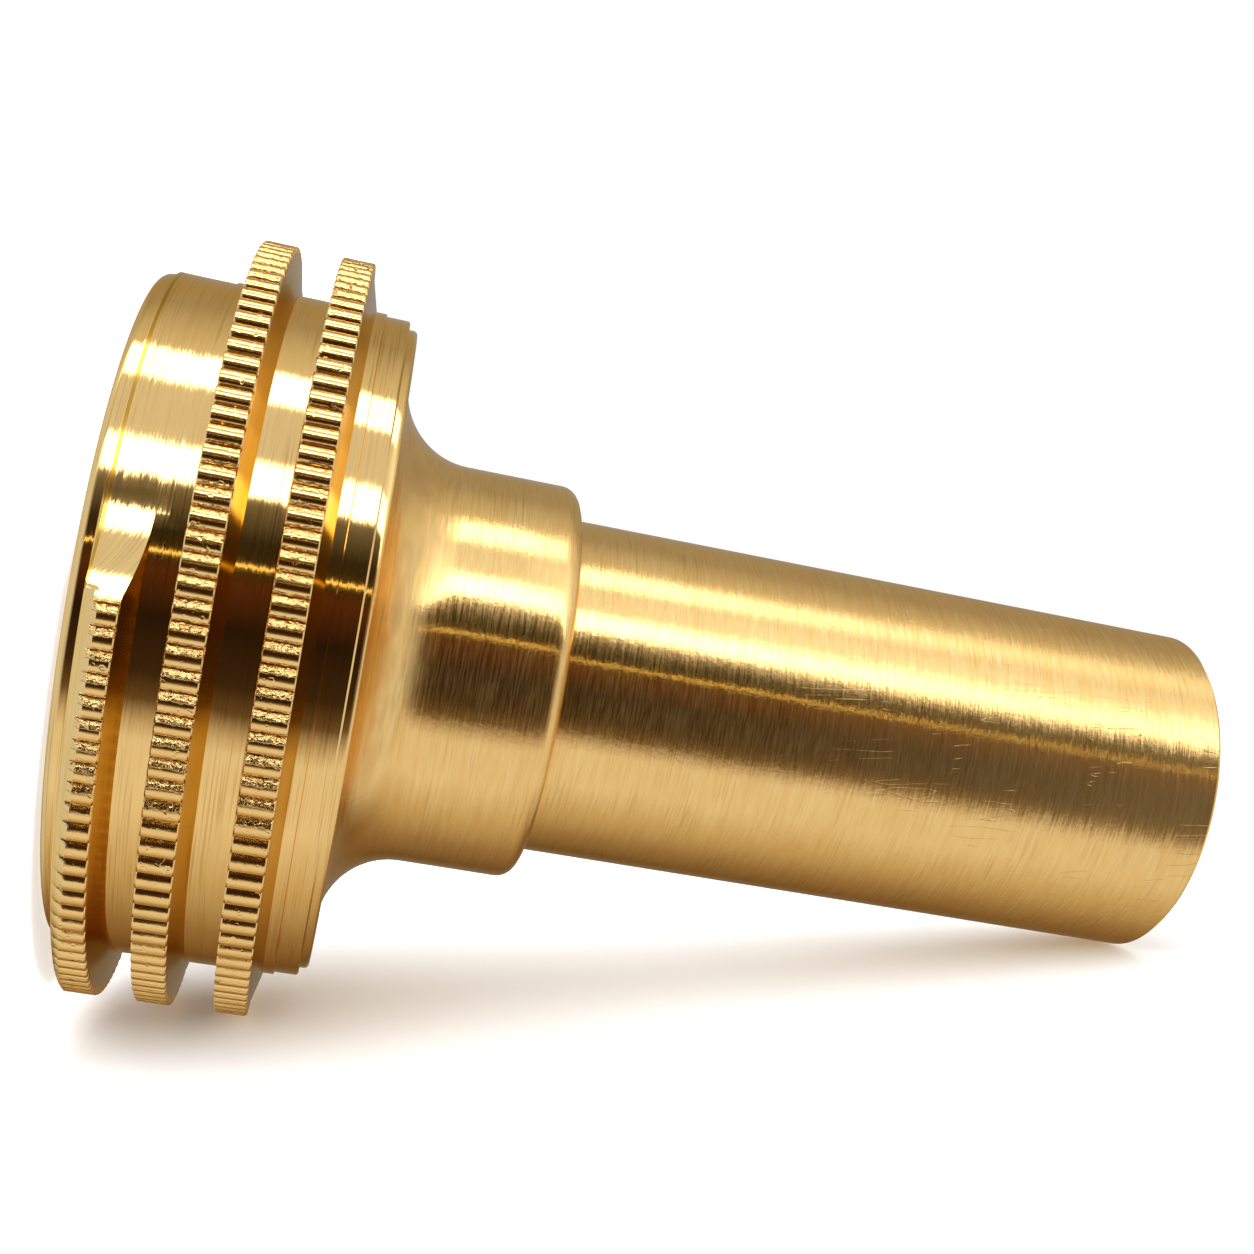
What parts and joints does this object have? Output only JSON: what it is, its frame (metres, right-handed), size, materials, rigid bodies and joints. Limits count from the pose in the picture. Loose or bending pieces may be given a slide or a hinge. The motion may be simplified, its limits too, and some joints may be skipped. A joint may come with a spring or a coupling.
{
  "type": "turned spigot fitting",
  "caption": "Turned fitting in one piece: a stepped head with knurled flanges, one partly milled away, a neck, a collar and a plain tubular spigot.",
  "frame": {"origin": "centre of the front face of the head, which the part stands on", "axes": "+Z along the turned axis, from the head towards the spigot; the milled side of the first flange faces -X"},
  "size_m": [0.0482, 0.0482, 0.0706],
  "materials": {
    "brass": "satin turned, with polished bands on the head"
  },
  "bodies": {
    "root": {"turned_body": "brass"}
  },
  "joints": []
}
